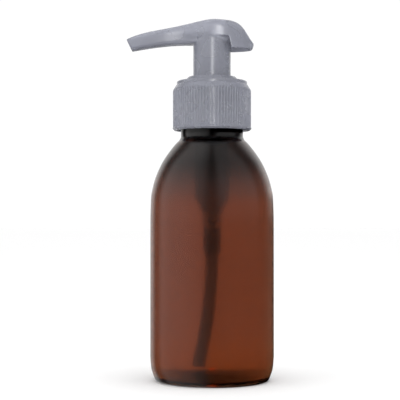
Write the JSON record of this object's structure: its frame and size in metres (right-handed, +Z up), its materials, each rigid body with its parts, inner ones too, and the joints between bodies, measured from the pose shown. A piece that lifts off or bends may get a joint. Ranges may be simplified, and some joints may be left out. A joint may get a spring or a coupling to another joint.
{
  "type": "lotion pump dispenser bottle",
  "caption": "Amber round bottle with a screw-on lotion pump: ribbed closure, saddle head with spout, sprung piston, foot-valve ball and curved dip tube.",
  "frame": {"origin": "centre of the bottle's foot, on the table", "axes": "+Z up along the bottle's axis, spout toward -X"},
  "size_m": [0.0616, 0.0516, 0.1506],
  "materials": {
    "amber_bottle": "translucent amber, satin body and glossy neck",
    "natural_plastic": "natural translucent polypropylene, satin",
    "tube_plastic": "natural polyethylene tube",
    "seal_plastic": "soft white polyethylene",
    "gasket_rubber": "white elastomer washer",
    "spring_steel": "bright drawn stainless wire",
    "ball_glass": "polished glass"
  },
  "bodies": {
    "bottle": {"bottle": "amber_bottle"},
    "pump": {"housing": "natural_plastic", "collar": "natural_plastic", "gasket": "gasket_rubber", "dip_tube": "tube_plastic"},
    "closure": {"closure": "natural_plastic"},
    "spring": {"return_spring": "spring_steel"},
    "plunger": {"pump_head": "natural_plastic", "stem": "natural_plastic", "plunger_rod": "natural_plastic"},
    "seal": {"piston_seal": "seal_plastic"},
    "ball": {"inlet_ball": "ball_glass"}
  },
  "joints": [
    {"name": "pump_rise", "type": "slide", "parent": "bottle", "child": "pump", "axis": [0, 0, 1], "range_m": [0, 0.1195]},
    {"name": "closure_turn", "type": "hinge", "parent": "pump", "child": "closure", "pos_m": [0, 0, 0.115], "axis": [0, 0, 1], "range_deg": [0, 13500]},
    {"name": "head_turn", "type": "hinge", "parent": "pump", "child": "spring", "pos_m": [0, 0, 0.1268], "axis": [0, 0, 1], "continuous": true},
    {"name": "head_press", "type": "slide", "parent": "spring", "child": "plunger", "axis": [0, 0, -1], "range_m": [0, 0.011], "stiffness_N_per_m": 600, "springref_m": -0.008, "deforming": ["return_spring"]},
    {"name": "seal_lag", "type": "slide", "parent": "plunger", "child": "seal", "axis": [0, 0, 1], "range_m": [0, 0.0012]},
    {"name": "ball_lift", "type": "slide", "parent": "pump", "child": "ball", "axis": [0, 0, 1], "range_m": [0, 0.0015]}
  ],
  "couplings": [
    {"joint": "pump_rise", "follows": "closure_turn", "m_per_rad": 0.00050532}
  ]
}
